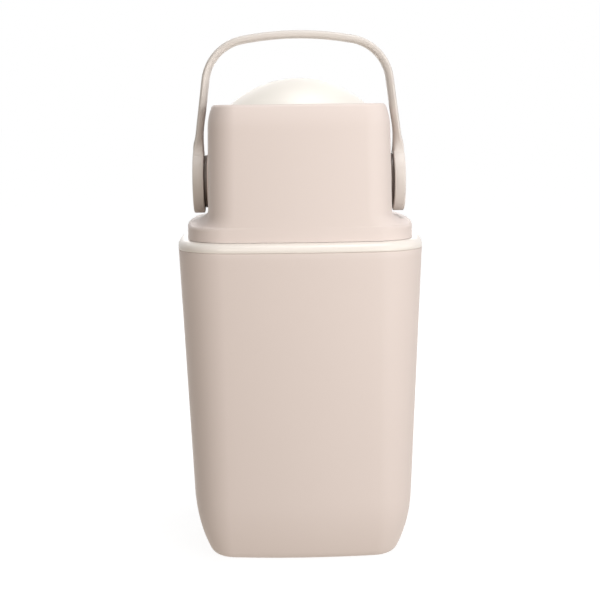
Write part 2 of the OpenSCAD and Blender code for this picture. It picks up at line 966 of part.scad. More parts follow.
module handle() {
    color("#dccbc1")
        difference() {
            union() {
                bow();
                for (side = [-1, 1])
                    at_side(side, hub_in)
                        hub_blank();
            }
            for (side = [-1, 1]) {
                at_side(side, hub_in - over)
                    keyed_bar(axle_r + seat_gap, axle_flat + seat_gap, axle_end - hub_in + over);
                at_side(side, hub_in)
                    cylinder(r = hub_screw_r + seat_gap, h = hub_t + over);
                at_side(side, cap_in)
                    cylinder(r = hub_cap_r + seat_gap, h = hub_cap_t + over);
                at_side(side, cap_in - screw_seat_h)
                    cylinder(r = hub_screw_head_r + 1, h = screw_seat_h + over);
                at_side(side, head_side)
                    cylinder(r = bush_flange_r + 2, h = hub_in - head_side);
            }
        }
}

module hub_cap(side) {
    color("#d8c6bc")
        at_side(side, cap_in)
            cylinder(r = hub_cap_r, h = hub_cap_t);
}

module hub_cap_left() {
    hub_cap(-1);
}

module hub_cap_right() {
    hub_cap(1);
}

module hub_screws() {
    color("#b8bcc0")
        for (side = [-1, 1])
            union() {
                at_side(side, cap_in - screw_seat_h)
                    cylinder(r = hub_screw_head_r, h = hub_screw_head_h);
                at_side(side, axle_end - hub_screw_l)
                    cylinder(r = hub_screw_r, h = cap_in - screw_seat_h + 1 - axle_end + hub_screw_l);
            }
}

// ---- piston --------------------------------------------------------------------------

piston_r = bore_r - moving_gap;
piston_wall = 2.4;
wiper_t = 3;
// The dish in each face of the piston: its depth and the width of its slope's foot
dish_h = 3;
dish_edge = 14;

// Turns a profile round the bore's axis. In the profile, x is the radius and y runs to -Y.
module about_bore() {
    translate([0, piston_y, pivot_z])
        rotate([90, 0, 0])
            rotate_extrude()
                children();
}

module piston_cup() {
    half = piston_t / 2;
    groove = piston_r - 2;
    color("#ddd6cf")
        about_bore()
            polygon([
                [0, half - dish_h],
                [piston_r - dish_edge, half - dish_h],
                [piston_r - 6, half],
                [piston_r - 3, half],
                [piston_r - 1, half - 2],
                [piston_r - 1, half - 5],
                [groove, half - 5],
                [groove, half - 5 - wiper_t],
                [piston_r - 1, half - 5 - wiper_t],
                [piston_r - 1, piston_wall - half],
                [piston_r - 1 - piston_wall, piston_wall - half],
                [piston_r - 1 - piston_wall, half - dish_h - piston_wall],
                [0, half - dish_h - piston_wall]
            ]);
}

module piston_lid() {
    half = piston_t / 2;
    groove = piston_r - 1 - piston_wall - seat_gap;
    color("#ddd6cf")
        about_bore()
            polygon([
                [0, dish_h - half],
                [piston_r - dish_edge, dish_h - half],
                [piston_r - 6, -half],
                [piston_r - 1, -half],
                [piston_r - 1, piston_wall - half],
                [groove, piston_wall - half],
                [groove, piston_wall + 4 - half],
                [groove - 2, piston_wall + 4 - half],
                [groove - 2, piston_wall + 2 - half],
                [piston_r - dish_edge, dish_h + piston_wall - half],
                [0, dish_h + piston_wall - half]
            ]);
}

module piston_weight() {
    color("#8f9498")
        about_bore()
            translate([0, dish_h + piston_wall - piston_t / 2])
                square([weight_r, weight_t]);
}

module piston_wipers() {
    half = piston_t / 2;
    color("#8d867f")
        about_bore()
            translate([piston_r - 2, half - 5 - wiper_t])
                polygon([[0, 0], [1.6, 0], [2, wiper_t / 2], [1.6, wiper_t], [0, wiper_t]]);
}

// ---- assembly ------------------------------------------------------------------------

tub();
feet();
collar();
bag_ring();
hinge_pin();
head_shell();
head_floor();
head_floor_screws();
top_seal();
lower_seal();
rim_gasket();
bush_left();
bush_right();
drum_upper();
drum_lower();
drum_screws();
sleeve();
mouth_ring_front();
mouth_ring_rear();
axle_left();
axle_right();
handle();
hub_cap_left();
hub_cap_right();
hub_screws();
piston_cup();
piston_lid();
piston_weight();
piston_wipers();
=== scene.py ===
"""Nappy bin with a flip-over carrying handle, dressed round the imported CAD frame.

Sizes in this file are in millimetres and become metres where a mesh is made. The frame's
origin is the middle of the footprint on the floor, +Z is up and the front faces -Y.
"""

from __future__ import annotations

import logging
import math
from collections.abc import Sequence
from dataclasses import dataclass, field
from enum import Enum
from typing import Any

import bmesh
import bpy
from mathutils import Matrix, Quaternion, Vector


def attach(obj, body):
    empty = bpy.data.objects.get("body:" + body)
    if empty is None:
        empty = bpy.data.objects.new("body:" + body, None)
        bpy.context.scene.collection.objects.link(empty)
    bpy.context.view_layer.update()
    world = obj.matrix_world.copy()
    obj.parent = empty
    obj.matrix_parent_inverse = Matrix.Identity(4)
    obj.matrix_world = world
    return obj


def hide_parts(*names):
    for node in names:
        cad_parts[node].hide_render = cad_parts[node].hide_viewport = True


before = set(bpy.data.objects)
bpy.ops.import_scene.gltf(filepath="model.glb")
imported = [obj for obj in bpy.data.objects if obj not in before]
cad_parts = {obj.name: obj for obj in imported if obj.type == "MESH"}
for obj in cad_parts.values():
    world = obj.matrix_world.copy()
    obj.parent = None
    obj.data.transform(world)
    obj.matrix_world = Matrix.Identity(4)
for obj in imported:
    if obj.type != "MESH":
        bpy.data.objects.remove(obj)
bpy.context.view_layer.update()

MM = 0.001
HAND_BREADTH_MM = 90.0
WELD_MM = 0.01
SLIVER_MM = 0.001
ARC_STEPS = 22
SIDES = ((-1, "left"), (1, "right"))

Point3 = tuple[float, float, float]
Point2 = tuple[float, float]
Ring = list[Point3]
Profile = list[Point2]

log = logging.getLogger("nappy_bin")


class Body(Enum):
    """The moving bodies of the frame."""

    BIN = "bin"
    HEAD = "head"
    DRUM = "drum"
    PISTON = "piston"


class Axis(Enum):
    """The axis that a turned shape goes round, after the two axes across it."""

    X = (1, 2, 0)
    Y = (2, 0, 1)


# ---- colour and finishes ----


def linear(hex_colour: str) -> tuple[float, float, float, float]:
    """Turns an sRGB hex colour into linear RGBA.

    Args:
        hex_colour: Six hex digits with a leading hash.

    Returns:
        The linear red, green and blue, and an alpha of 1.
    """
    digits = hex_colour.lstrip("#")
    parts = [int(digits[i : i + 2], 16) / 255 for i in (0, 2, 4)]
    red, green, blue = (
        p / 12.92 if p <= 0.04045 else ((p + 0.055) / 1.055) ** 2.4 for p in parts
    )
    return red, green, blue, 1.0


def add_node(
    tree: bpy.types.NodeTree,
    kind: str,
    inputs: dict[str | int, Any] | None = None,
    **settings: Any,
) -> bpy.types.Node:
    """Adds one shader node with its settings, values and links.

    Args:
        tree: The node tree that gets the node.
        kind: The node's Blender type name.
        inputs: For each input, by name or place, a value or the socket that feeds it.
        **settings: Properties of the node itself.

    Returns:
        The new node.
    """
    node = tree.nodes.new(kind)
    for name, value in settings.items():
        setattr(node, name, value)
    for name, value in (inputs or {}).items():
        if isinstance(value, bpy.types.NodeSocket):
            tree.links.new(value, node.inputs[name])
        else:
            node.inputs[name].default_value = value
    return node


def blank_tree(owner: bpy.types.Material | bpy.types.World) -> bpy.types.NodeTree:
    """Turns on the nodes of a material or world and returns its emptied tree."""
    owner.use_nodes = True
    owner.node_tree.nodes.clear()
    return owner.node_tree


def put_in_scene(name: str, data: bpy.types.ID) -> bpy.types.Object:
    """Makes an object of a mesh, light or camera and links it to the scene."""
    made = bpy.data.objects.new(name, data)
    bpy.context.scene.collection.objects.link(made)
    return made


@dataclass(frozen=True)
class Finish:
    """A material and how its surface was made.

    Attributes:
        name: The material's plain name.
        colour: Base colour as sRGB hex.
        roughness: Roughness of the bare surface.
        ior: Index of refraction.
        metallic: 1 for a bare metal.
        grain_mm: Width of one grain of the moulded or ground texture.
        grain_depth_mm: Height of that grain.
        drift: Share by which the colour drifts over a hand's breadth.
        mottle: How far the roughness strays to either side.
        stretch: How much longer the grain is along X than across, for brushed metal.
    """

    name: str
    colour: str
    roughness: float
    ior: float = 1.49
    metallic: float = 0.0
    grain_mm: float = 1.6
    grain_depth_mm: float = 0.02
    drift: float = 0.02
    mottle: float = 0.05
    stretch: float = 1.0

    def material(self) -> bpy.types.Material:
        """Builds the material once and returns it afterwards.

        Returns:
            The Blender material of this finish.
        """
        found = bpy.data.materials.get(self.name)
        if found is not None:
            return found
        made = bpy.data.materials.new(self.name)
        tree = blank_tree(made)
        place = add_node(tree, "ShaderNodeTexCoord").outputs["Object"]
        if self.stretch != 1.0:
            place = add_node(
                tree,
                "ShaderNodeMapping",
                {"Vector": place, "Scale": (1.0 / self.stretch, 1.0, 1.0)},
            ).outputs["Vector"]
        cloud = add_node(
            tree,
            "ShaderNodeTexNoise",
            {
                "Vector": place,
                "Scale": 1 / (HAND_BREADTH_MM * MM),
                "Detail": 2.0,
                "Roughness": 0.4,
            },
        )
        pale = tuple(min(1.0, c * (1 + self.drift)) for c in linear(self.colour)[:3])
        deep = tuple(c * (1 - self.drift) for c in linear(self.colour)[:3])
        tint = add_node(
            tree,
            "ShaderNodeMix",
            {0: cloud.outputs["Fac"], 6: (*deep, 1.0), 7: (*pale, 1.0)},
            data_type="RGBA",
        )
        grain = add_node(
            tree,
            "ShaderNodeTexNoise",
            {
                "Vector": place,
                "Scale": 1 / (self.grain_mm * MM),
                "Detail": 3.0,
                "Roughness": 0.55,
            },
        )
        polish = add_node(
            tree,
            "ShaderNodeMapRange",
            {
                "Value": grain.outputs["Fac"],
                "To Min": self.roughness - self.mottle,
                "To Max": self.roughness + self.mottle,
            },
        )
        bump = add_node(
            tree,
            "ShaderNodeBump",
            {
                "Height": grain.outputs["Fac"],
                "Strength": 1.0,
                "Distance": self.grain_depth_mm * MM,
            },
        )
        surface = add_node(
            tree,
            "ShaderNodeBsdfPrincipled",
            {
                "Base Color": tint.outputs[2],
                "Roughness": polish.outputs["Result"],
                "Normal": bump.outputs["Normal"],
                "Metallic": self.metallic,
            },
        )
        if self.metallic == 0.0:
            surface.inputs["IOR"].default_value = self.ior
        add_node(
            tree, "ShaderNodeOutputMaterial", {"Surface": surface.outputs["BSDF"]}
        )
        return made


# Polypropylene moulded in a spark-eroded tool: matt and chalky, with the faintest grain.
# The real grain is a tenth of a millimetre, so it is drawn coarser to show at all.
BEIGE_POLYPROPYLENE = Finish(
    "moulded_polypropylene_beige",
    "#ddd0ca",
    roughness=0.55,
    grain_mm=1.4,
    grain_depth_mm=0.012,
    drift=0.012,
)

# The same plastic on the handle, a touch smoother, its own beige drawn paler and greyer
# than the shell:
# that paleness is painted sheen, the white room's reflection on its rounded surfaces. Its
# grain is almost flat, with only a soft shine along its edges.
HANDLE_POLYPROPYLENE_PAINTED_SHEEN = Finish(
    "moulded_polypropylene_handle_painted_sheen",
    "#dad3cd",
    roughness=0.5,
    grain_mm=1.4,
    grain_depth_mm=0.0003,
    drift=0.012,
    mottle=0.02,
)

# Polypropylene from a polished tool: the collar's satin white, with a soft highlight.
WHITE_POLYPROPYLENE = Finish(
    "satin_polypropylene_white",
    "#eae3dc",
    roughness=0.36,
    grain_mm=2.0,
    grain_depth_mm=0.004,
    drift=0.006,
)

# ABS moulded in a fine tool: the ball, warm white and satin, smooth enough to wipe clean.
WHITE_ABS = Finish(
    "moulded_abs_white",
    "#f2eee7",
    roughness=0.42,
    ior=1.54,
    grain_mm=2.4,
    grain_depth_mm=0.003,
    drift=0.005,
)

# Natural polypropylene inside, unpainted and slightly greyer.
INNER_POLYPROPYLENE = Finish(
    "moulded_polypropylene_inner",
    "#e6ded6",
    roughness=0.5,
    grain_mm=1.6,
    grain_depth_mm=0.015,
)

# Acetal, which runs quietly as a bearing: waxy. Its dark brown is painted shade: a beige
# acetal drawn dark for the shadow in the narrow gap between head and hub, on the bushes
# and the axles.
BUSH_ACETAL_PAINTED_SHADE = Finish(
    "machined_acetal_bush_painted_shade",
    "#5f544d",
    roughness=0.42,
    ior=1.48,
    grain_mm=0.9,
    grain_depth_mm=0.01,
)

# Thermoplastic rubber for seals: dull, with no highlight to speak of.
SEAL_RUBBER = Finish(
    "moulded_rubber_seal",
    "#b8b0a8",
    roughness=0.8,
    ior=1.52,
    grain_mm=1.0,
    grain_depth_mm=0.03,
)

# Darker rubber for the feet.
FOOT_RUBBER = Finish(
    "moulded_rubber_foot",
    "#6d6660",
    roughness=0.85,
    ior=1.52,
    grain_mm=1.0,
    grain_depth_mm=0.04,
)

# Zinc-plated steel, drawn and left as rolled: fine streaks along its length.
PLATED_STEEL = Finish(
    "plated_steel",
    "#b8bcc0",
    roughness=0.32,
    metallic=1.0,
    grain_mm=0.5,
    grain_depth_mm=0.004,
    stretch=12.0,
)


def keep_nodes(**finishes: Finish) -> None:
    """Gives CAD nodes that stay in view their finishes.

    Args:
        **finishes: What each node is made of, by the node's name.
    """
    for name, finish in finishes.items():
        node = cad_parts[name]
        node.data.materials.clear()
        node.data.materials.append(finish.material())
        log.info("%s: frame node, %s", name, finish.name)


# ---- shapes ----


@dataclass
class Shape:
    """The surface of one piece, gathered from lofted and turned parts, in millimetres."""

    points: list[Point3] = field(default_factory=list)
    faces: list[tuple[int, ...]] = field(default_factory=list)

    def skin(
        self,
        rings: Sequence[Ring],
        loop: bool = False,
        capped: bool = False,
        open_rings: bool = False,
    ) -> None:
        """Joins rings of equally many points, each to the next.

        Args:
            rings: The rings in order.
            loop: Whether the last ring joins the first.
            capped: Whether a face closes the first ring and the last.
            open_rings: Whether the rings are strips whose two ends stay apart.
        """
        base = len(self.points)
        across = len(rings[0])
        rows = len(rings)
        for ring in rings:
            self.points.extend(ring)
        for i in range(rows if loop else rows - 1):
            low, high = base + i * across, base + (i + 1) % rows * across
            for j in range(across - 1 if open_rings else across):
                k = (j + 1) % across
                self.faces.append((low + j, low + k, high + k, high + j))
        if capped:
            for start in (base, base + (rows - 1) * across):
                self.faces.append(tuple(range(start, start + across)))

    def turn(
        self,
        profile: Profile,
        axis: Axis,
        centre: Point3,
        side: int = 1,
        steps: int = 96,
        loop: bool = True,
    ) -> None:
        """Turns a profile round an axis.

        Args:
            profile: Points as radius and place along the axis, in order.
            axis: The axis of the turned shape.
            centre: The point on the axis that the profile is measured from.
            side: 1 as the profile is, -1 mirrored along the axis.
            steps: Points round the axis.
            loop: Whether the profile's last point joins its first.
        """
        a, b, c = axis.value
        rings = []
        for radius, along in profile:
            ring = []
            for j in range(steps):
                angle = math.tau * j / steps
                point = [0.0, 0.0, 0.0]
                point[a] = centre[a] + radius * math.cos(angle)
                point[b] = centre[b] + radius * math.sin(angle)
                point[c] = centre[c] + side * along
                ring.append(tuple(point))
            rings.append(ring)
        self.skin(rings, loop=loop)

    def block(self, low: Point3, high: Point3, edge: float) -> None:
        """Adds a block with its upright edges and its top taken off.

        Args:
            low: Lowest corner.
            high: Highest corner.
            edge: Width of the chamfer.
        """
        rings = []
        for z, inset in (
            (low[2], edge),
            (low[2] + edge, 0.0),
            (high[2] - edge, 0.0),
            (high[2], edge),
        ):
            x0, x1 = low[0] + inset, high[0] - inset
            y0, y1 = low[1] + inset, high[1] - inset
            x2, x3, y2, y3 = x0 + edge, x1 - edge, y0 + edge, y1 - edge
            right = [(x2, y0), (x3, y0), (x1, y2), (x1, y3)]
            left = [(x3, y1), (x2, y1), (x0, y3), (x0, y2)]
            rings.append([(x, y, z) for x, y in right + left])
        self.skin(rings, capped=True)

    def piece(
        self,
        name: str,
        finish: Finish,
        body: Body,
        node: str,
        crease: float = 34.0,
    ) -> None:
        """Makes the mesh object and puts it on its body.

        Args:
            name: Name of the piece.
            finish: What it is made of.
            body: The body that it rides on.
            node: The CAD node that it stands for.
            crease: Edges that turn by more than this many degrees stay sharp.
        """
        mesh = bpy.data.meshes.new(name)
        mesh.from_pydata([Vector(p) * MM for p in self.points], [], self.faces)
        solid = bmesh.new()
        solid.from_mesh(mesh)
        bmesh.ops.remove_doubles(solid, verts=solid.verts, dist=WELD_MM * MM)
        bmesh.ops.dissolve_degenerate(solid, edges=solid.edges, dist=SLIVER_MM * MM)
        bmesh.ops.recalc_face_normals(solid, faces=solid.faces)
        solid.to_mesh(mesh)
        solid.free()
        mesh.shade_smooth()
        mesh.set_sharp_from_angle(angle=math.radians(crease))
        mesh.materials.append(finish.material())
        made = put_in_scene(name, mesh)
        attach(made, body.value)
        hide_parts(node)
        log.info("%s: %d faces on %s", name, len(mesh.polygons), body.value)


def arc(
    centre: Point2, radius: float, first: float, last: float, steps: int
) -> Profile:
    """Points on an arc.

    Args:
        centre: Centre of the arc.
        radius: Its radius.
        first: First angle, in degrees.
        last: Last angle, in degrees.
        steps: Number of steps between them.

    Returns:
        The points, both ends included.
    """
    angles = [math.radians(first + (last - first) * i / steps) for i in range(steps + 1)]
    return [
        (centre[0] + radius * math.cos(a), centre[1] + radius * math.sin(a))
        for a in angles
    ]


@dataclass(frozen=True)
class Plan:
    """A rounded rectangle with bowed sides, seen from above."""

    half_w: float
    half_d: float
    corner: float
    bow: float

    def outline(self, z: float, inset: float = 0.0) -> Ring:
        """Points round the plan at one height.

        Args:
            z: The height.
            inset: How far the outline is drawn in.

        Returns:
            The outline, anticlockwise from above.
        """
        cx = self.half_w - self.corner - self.bow
        cy = self.half_d - self.corner - self.bow
        ax = 2 * math.atan(self.bow / cy)
        ay = 2 * math.atan(self.bow / cx)
        rx = self.corner + cy / math.sin(ax)
        ry = self.corner + cx / math.sin(ay)
        turn = math.pi / 2 - ax - ay
        quarter = math.pi / 2
        arcs = [
            (self.half_w - rx, 0.0, rx, -ax, 2 * ax),
            (cx, cy, self.corner, ax, turn),
            (0.0, self.half_d - ry, ry, quarter - ay, 2 * ay),
            (-cx, cy, self.corner, quarter + ay, turn),
            (rx - self.half_w, 0.0, rx, math.pi - ax, 2 * ax),
            (-cx, -cy, self.corner, math.pi + ax, turn),
            (0.0, ry - self.half_d, ry, 3 * quarter - ay, 2 * ay),
            (cx, -cy, self.corner, 3 * quarter + ay, turn),
        ]
        ring = []
        for x, y, radius, first, span in arcs:
            r = radius - inset
            for i in range(ARC_STEPS):
                a = first + span * i / ARC_STEPS
                ring.append((x + r * math.cos(a), y + r * math.sin(a), z))
        return ring


def stations(first: float, last: float, steps: int) -> list[float]:
    """Evenly spaced values from the first to the last, both included."""
    return [first + (last - first) * i / steps for i in range(steps + 1)]


# ---- tub, collar and hinge ----


@dataclass
class TubAssembly:
    """The tub with its feet, the white collar, the bag ring and the hinge pin."""

    width: float = 287.0
    depth: float = 287.0
    rim_z: float = 361.5
    wall: float = 3.0
    corner: float = 60.0
    bow: float = 5.0
    draft: float = 13.0
    knee_z: float = 72.0
    knee_r: float = 155.0
    edge_r: float = 15.0
    base_z: float = 2.0
    collar_h: float = 10.5
    shoulder: float = 11.5
    collar_wall: float = 2.4
    upstand_h: float = 4.0
    skirt_h: float = 15.0
    head_wall: float = 3.0
    swing_gap: float = 1.6
    gap: float = 0.4
    seat_gap: float = 0.2
    seam_h: float = 2.0
    knuckle_r: float = 4.5
    knuckle_w: float = 18.0
    knuckle_edge: float = 0.5
    pin_hole_r: float = 2.05
    web_edge: float = 0.3

    @property
    def plan(self) -> Plan:
        """The rim's plan, which the collar shares."""
        return Plan(self.width / 2, self.depth / 2, self.corner, self.bow)

    @property
    def lean(self) -> float:
        """Angle of the wall from upright, in degrees."""
        return math.degrees(math.atan(self.draft / (self.rim_z - self.knee_z)))

    @property
    def collar_top(self) -> float:
        """Height of the collar's flat top."""
        return self.rim_z + self.collar_h

    @property
    def hinge(self) -> Point2:
        """Place of the rear hinge's axis, as Y and Z."""
        return (
            self.depth / 2 - self.knuckle_r,
            self.collar_top + self.knuckle_r + self.gap,
        )

    def knuckle(self, shape: Shape, place: int) -> tuple[float, float]:
        """Adds one knuckle of the rear hinge.

        Args:
            shape: The shape that gets it.
            place: Its place along the pin, 0 in the middle.

        Returns:
            Where it starts and ends along the pin.
        """
        x = place * (self.knuckle_w + self.gap)
        y, z = self.hinge
        half, edge = self.knuckle_w / 2, self.knuckle_edge
        profile = [
            (self.pin_hole_r, -half),
            (self.knuckle_r - edge, -half),
            (self.knuckle_r, edge - half),
            (self.knuckle_r, half - edge),
            (self.knuckle_r - edge, half),
            (self.pin_hole_r, half),
        ]
        shape.turn(profile, Axis.X, (x, y, z), steps=40)
        return x - half, x + half

    def build(self) -> None:
        """Builds and dresses every piece of the tub."""
        self.tub()
        self.collar()
        keep_nodes(
            feet=FOOT_RUBBER, bag_ring=INNER_POLYPROPYLENE, hinge_pin=PLATED_STEEL
        )

    def wall_profile(self, thickness: float) -> Profile:
        """The tub's section below its rim, as inset and height, from the top down.

        Args:
            thickness: 0 for the outside, the wall's thickness for the inside.

        Returns:
            Points down the wall, round the knee and round the bottom edge.
        """
        turn = math.radians(self.lean)
        knee_x = self.draft + self.knee_r * math.cos(turn)
        knee_y = self.knee_z + self.knee_r * math.sin(turn)
        reach = self.knee_r - self.edge_r
        edge_turn = math.asin((knee_y - self.edge_r - self.base_z) / reach)
        edge_x = knee_x - reach * math.cos(edge_turn)
        edge_y = knee_y - reach * math.sin(edge_turn)
        first, last = 180 + self.lean, 180 + math.degrees(edge_turn)
        slant = thickness / math.cos(turn)
        wall = [
            (slant + self.draft * u, self.rim_z - (self.rim_z - self.knee_z) * u)
            for u in (0.03, 0.1, 0.25, 0.4, 0.55, 0.7, 0.85, 0.95)
        ]
        return [
            *wall,
            *arc((knee_x, knee_y), self.knee_r - thickness, first, last, 22),
            *arc((edge_x, edge_y), self.edge_r - thickness, last, 270, 8),
        ]

    def tub(self) -> None:
        """The tapered tub: bowed sides, a long curve to the base and a rolled rim."""
        slant = self.wall / math.cos(math.radians(self.lean))
        rim = self.rim_z
        profile = [
            *reversed(self.wall_profile(0.0)),
            (0.0, rim - 1.0),
            (0.3, rim - 0.3),
            (1.0, rim),
            (slant - 0.6, rim),
            (slant, rim - 0.6),
            *self.wall_profile(self.wall),
        ]
        shape = Shape()
        shape.skin([self.plan.outline(z, inset) for inset, z in profile], capped=True)
        shape.piece("tub_skin", BEIGE_POLYPROPYLENE, Body.BIN, "tub")

    def collar(self) -> None:
        """The white collar with its rounded shoulder and three hinge knuckles."""
        slant = self.wall / math.cos(math.radians(self.lean))
        lean_in = self.draft * self.skirt_h / (self.rim_z - self.knee_z)
        skirt = slant + lean_in + self.seat_gap
        plate_z = self.collar_top - self.collar_wall - self.seat_gap
        upstand = self.shoulder + self.head_wall + self.swing_gap
        top = self.collar_top
        rise = self.collar_h - self.seam_h
        shoulder = [
            (
                self.shoulder * (1 - math.cos(math.radians(a))),
                self.rim_z + self.seam_h + rise * math.sin(math.radians(a)),
            )
            for a in stations(0, 90, 14)
        ]
        wall = self.collar_wall
        profile = [
            (skirt, self.rim_z),
            (1.0, self.rim_z),
            (0.3, self.rim_z + 0.25),
            (0.0, self.rim_z + 0.9),
            *shoulder,
            (upstand, top),
            (upstand, top + self.upstand_h - 0.6),
            (upstand + 0.6, top + self.upstand_h),
            (upstand + wall - 0.6, top + self.upstand_h),
            (upstand + wall, top + self.upstand_h - 0.6),
            (upstand + wall, plate_z),
            (skirt + wall, plate_z),
            (skirt + wall, self.rim_z - self.skirt_h),
            (skirt, self.rim_z - self.skirt_h),
        ]
        shape = Shape()
        shape.skin([self.plan.outline(z, inset) for inset, z in profile], loop=True)
        y, z = self.hinge
        web = self.knuckle_r / 2
        for place in (-2, 0, 2):
            left, right = self.knuckle(shape, place)
            shape.block(
                (left, y - web, self.rim_z + self.seam_h),
                (right, y + web, z - self.pin_hole_r - self.gap),
                edge=self.web_edge,
            )
        shape.piece(
            "collar_ring", WHITE_POLYPROPYLENE, Body.BIN, "collar"
        )


# ---- head ----


@dataclass
class HeadAssembly:
    """The hinged head: shell, floor, seals, gasket and the two bushes."""

    tub: TubAssembly
    top: float = 524.5
    wall: float = 3.0
    flange_h: float = 12.5
    edge_r: float = 3.5
    neck_w: float = 215.5
    flare_h: float = 15.0
    corner: float = 34.0
    lean: float = 0.1
    draft: float = 3.0
    crown_in: float = 5.5
    crown_h: float = 27.0
    crown_r: float = 3.0
    pivot_z: float = 434.5
    ball_r: float = 120.5
    ball_gap: float = 1.5
    pad_h: float = 1.0
    pad_r: float = 32.0
    web_t: float = 2.2
    bush_hole_r: float = 18.3
    bush_r: float = 18.05
    bush_bore_r: float = 14.05
    bush_inner_end: float = 100.0
    bush_flange_r: float = 31.0
    bush_flange: float = 3.4

    @property
    def pivot(self) -> Point3:
        """The middle of the ball, which the handle's axis goes through."""
        return 0.0, 0.0, self.pivot_z

    @property
    def bottom(self) -> float:
        """Height of the head's lower rim."""
        return self.tub.collar_top + self.tub.gap

    @property
    def flange_half(self) -> float:
        """Half width of the flange."""
        return self.tub.width / 2 - self.tub.shoulder

    @property
    def flange_top(self) -> float:
        """Height where the flange's upper edge starts to round."""
        return self.bottom + self.flange_h

    @property
    def flare_top(self) -> float:
        """Height where the flare has become the neck."""
        return self.flange_top + self.edge_r + self.flare_h

    @property
    def side(self) -> float:
        """Half width of the neck at the pivot."""
        return self.neck_half(self.pivot_z)

    def half_depth(self, z: float) -> float:
        """Half depth at a height: the front and the back lean in all the way up."""
        return self.tub.depth / 2 - self.tub.shoulder - self.lean * (z - self.bottom)

    def neck_half(self, z: float) -> float:
        """Half width of the neck at a height, without its crown."""
        share = max(0.0, z - self.flare_top) / (self.top - self.flare_top)
        return (self.neck_w - self.draft * share) / 2

    def plan(self, z: float, share: float, inset: float, edge: float = 0.0) -> Plan:
        """The head's plan at a height.

        Args:
            z: The height.
            share: 1 in the flange and 0 in the neck.
            inset: How far all of it is drawn in.
            edge: How far only the sides are drawn in.

        Returns:
            The plan.
        """
        crown_z = self.top - self.crown_h
        drawn = inset + self.crown_in * (max(0.0, z - crown_z) / self.crown_h) ** 2
        neck = self.neck_half(z)
        flange_corner = self.tub.corner - self.tub.shoulder
        return Plan(
            neck + share * (self.flange_half - neck) - edge - drawn,
            self.half_depth(z) - drawn,
            self.corner + share * (flange_corner - self.corner) - drawn,
            self.tub.bow - 1.0 + share,
        )

    def outside(self, inset: float) -> list[Ring]:
        """Outlines up the outside of the shell, or up its inside.

        Args:
            inset: 0 for the outside, the wall's thickness for the inside.

        Returns:
            The rings from the lower rim to the top.
        """
        rings = []
        for u in stations(0, 1, 6):
            z = self.bottom + (self.flange_top - self.bottom) * u
            rings.append(self.plan(z, 1, inset).outline(z))
        for a in stations(0, 90, 6)[1:]:
            turn = math.radians(a)
            z = self.flange_top + self.edge_r * math.sin(turn)
            edge = self.edge_r * (1 - math.cos(turn))
            rings.append(self.plan(z, 1, inset, edge).outline(z - inset))
        for u in stations(0, 1, 24)[1:]:
            share = 1 - math.sqrt(1 - (1 - u) ** 2)
            z = self.flange_top + self.edge_r + self.flare_h * u
            edge = self.edge_r * share
            rings.append(self.plan(z, share, inset, edge).outline(z - inset * share))
        for z in stations(self.flare_top + 4, self.top - self.crown_h, 7):
            rings.append(self.plan(z, 0, inset).outline(z))
        return rings

    def shell(self) -> None:
        """The lofted shell, open at the top for the ball, with its hinge knuckles."""
        crown_z = self.top - self.crown_h
        outer = self.outside(0.0)
        for z in stations(crown_z, self.top - self.crown_r, 10)[1:]:
            outer.append(self.plan(z, 0, 0).outline(z))
        for a in stations(0, 90, 6)[1:]:
            turn = math.radians(a)
            z = self.top - self.crown_r * (1 - math.sin(turn))
            inset = self.crown_r * (1 - math.cos(turn))
            outer.append(self.plan(z, 0, inset).outline(z))
        rim = outer[-1]
        swept = self.ball_r + self.ball_gap

        def opening(z: float, extra: float = 0.0) -> Ring:
            """The ring where the ball's clearance cuts the top, at one height."""
            radius = math.sqrt(swept**2 - (z - self.pivot_z) ** 2) + extra
            return [
                (x * radius / math.hypot(x, y), y * radius / math.hypot(x, y), z)
                for x, y, _ in rim
            ]

        top, under = self.top, self.top - self.wall
        lip = [
            opening(top, 0.8),
            opening(top - 0.25, 0.25),
            opening(top - 0.9),
            opening(under),
        ]
        inner = list(reversed(self.outside(self.wall)))
        under_rim = self.plan(under, 0, self.crown_r + self.wall).outline(under)
        half_way = [
            tuple((p + q) / 2 for p, q in zip(a, b, strict=True))
            for a, b in zip(rim, lip[0], strict=True)
        ]
        shape = Shape()
        shape.skin([*outer, half_way, *lip, under_rim, *inner], loop=True)
        for side in (-1, 1):
            self.pad(shape, side)
        self.knuckles(shape)
        shape.piece(
            "head_skin", BEIGE_POLYPROPYLENE, Body.HEAD, "head_shell"
        )

    def pad(self, shape: Shape, side: int) -> None:
        """Adds the low round pad that one bush lies on.

        Args:
            shape: The shape that gets it.
            side: -1 for the left, 1 for the right.
        """
        out, edge = self.side + self.pad_h, 0.4
        sunk = self.side - 2.0
        profile = [
            (self.bush_hole_r, sunk),
            (self.pad_r, sunk),
            (self.pad_r, out - edge),
            (self.pad_r - edge, out),
            (self.bush_hole_r, out),
        ]
        shape.turn(profile, Axis.X, self.pivot, side)

    def knuckles(self, shape: Shape) -> None:
        """Adds the head's two hinge knuckles and their webs.

        Args:
            shape: The shape that gets them.
        """
        tub = self.tub
        y, z = tub.hinge
        wall_y = self.half_depth(z) - self.wall / 2
        for place in (-1, 1):
            left, right = tub.knuckle(shape, place)
            shape.block(
                (left, wall_y, z + tub.knuckle_r - self.web_t),
                (right, y, z + tub.knuckle_r - 0.02),
                edge=tub.web_edge,
            )

